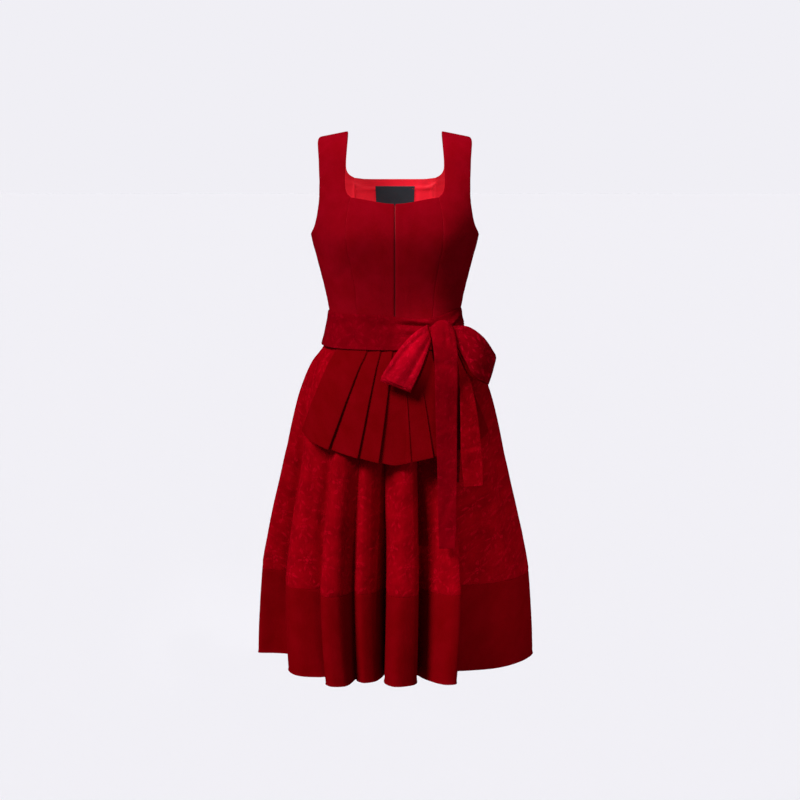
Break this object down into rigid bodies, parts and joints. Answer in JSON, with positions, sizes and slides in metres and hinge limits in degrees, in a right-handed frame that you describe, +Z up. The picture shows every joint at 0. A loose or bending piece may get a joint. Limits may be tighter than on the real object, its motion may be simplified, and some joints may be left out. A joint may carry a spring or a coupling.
{
  "type": "dirndl",
  "caption": "Sleeveless red dirndl with princess-seamed bodice, flared brocade skirt with plain hem band, pleated peplum and a sash tied in a bow, worn, with no wearer.",
  "frame": {"origin": "midway between the tops of the two shoulder straps, where the wearer's shoulders carry the dress", "axes": "+Z up; the front of the dress faces -Y; +X is on the right of someone who looks at the front"},
  "size_m": [0.5584, 0.4749, 1.0521],
  "materials": {
    "crepe": "matt deep red wool crepe with a fine twill",
    "brocade": "tone-on-tone red brocade, satin figures on a dull ground",
    "lining": "smooth coral red satin lining",
    "label": "plain charcoal woven label, bare",
    "zip_tape": "dark red woven zip tape"
  },
  "bodies": {
    "root": {"bodice_back_middle": "crepe", "bodice_back_side_left": "crepe", "bodice_back_side_right": "crepe", "bodice_front_middle_left": "crepe", "bodice_front_middle_right": "crepe", "bodice_front_side_left": "crepe", "bodice_front_side_right": "crepe", "hem_band_back": "crepe", "hem_band_front": "crepe", "lining_back_middle": "lining", "lining_back_side_left": "lining", "lining_back_side_right": "lining", "neck_label": "label", "peplum": "crepe", "sash_band_back": "brocade", "sash_band_front": "brocade", "sash_knot": "brocade", "sash_loop_left": "brocade", "sash_loop_right": "brocade", "sash_tail_long": "brocade", "sash_tail_short": "brocade", "skirt_back": "brocade", "skirt_front": "brocade", "zip_tape": "zip_tape"}
  },
  "joints": []
}
